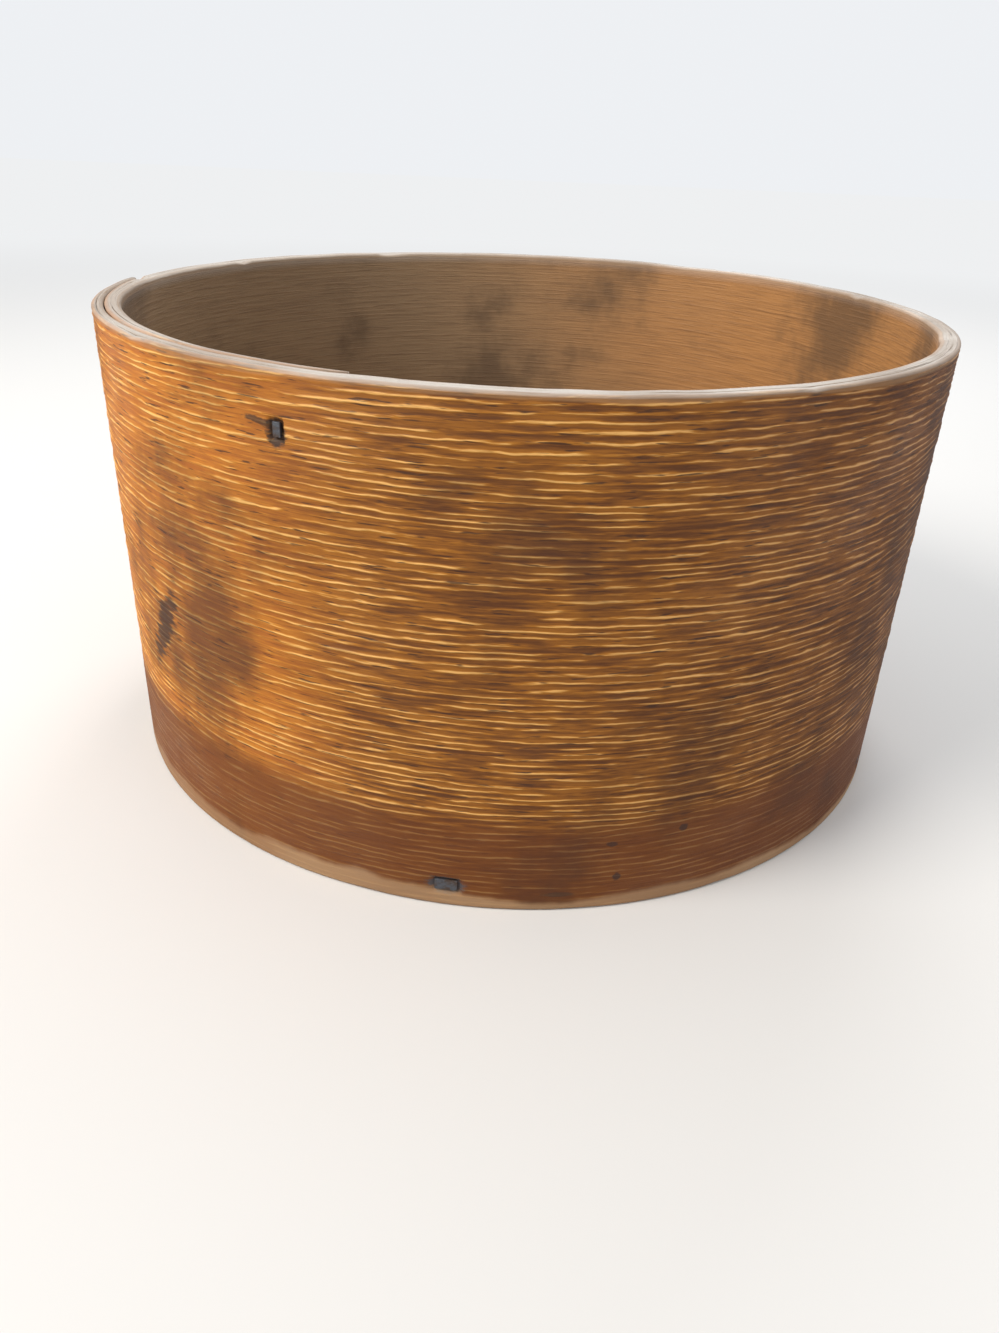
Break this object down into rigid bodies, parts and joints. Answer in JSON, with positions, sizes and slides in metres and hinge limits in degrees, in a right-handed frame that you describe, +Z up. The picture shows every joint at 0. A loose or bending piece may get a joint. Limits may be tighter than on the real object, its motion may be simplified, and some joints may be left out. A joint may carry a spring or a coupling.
{
  "type": "bentwood dry measure",
  "caption": "Round open-topped bentwood measure for grain: a wound softwood hoop with a scarfed lap, nailed round a boarded bottom.",
  "frame": {"origin": "centre of the foot circle, on the surface that the measure stands on", "axes": "+Z up through the open top, -Y towards the side that the picture shows, the lap on the -X side"},
  "size_m": [0.3736, 0.3698, 0.199],
  "materials": {
    "weathered_pine": "weathered, oiled by handling, ridged along the grain",
    "bottom_pine": "worn matte",
    "dowel_wood": "dry",
    "aged_iron": "dark and lightly rusted"
  },
  "bodies": {
    "root": {"hoop_wall": "weathered_pine", "bottom_board_1": "bottom_pine", "bottom_board_2": "bottom_pine", "bottom_board_3": "bottom_pine", "dowel_1": "dowel_wood", "dowel_2": "dowel_wood", "dowel_3": "dowel_wood", "dowel_4": "dowel_wood", "foot_nail_1": "aged_iron", "foot_nail_2": "aged_iron", "foot_nail_3": "aged_iron", "foot_nail_4": "aged_iron", "foot_nail_5": "aged_iron", "lap_nail_1": "aged_iron", "lap_nail_2": "aged_iron", "lap_nail_3": "aged_iron", "rim_nail": "aged_iron"}
  },
  "joints": []
}
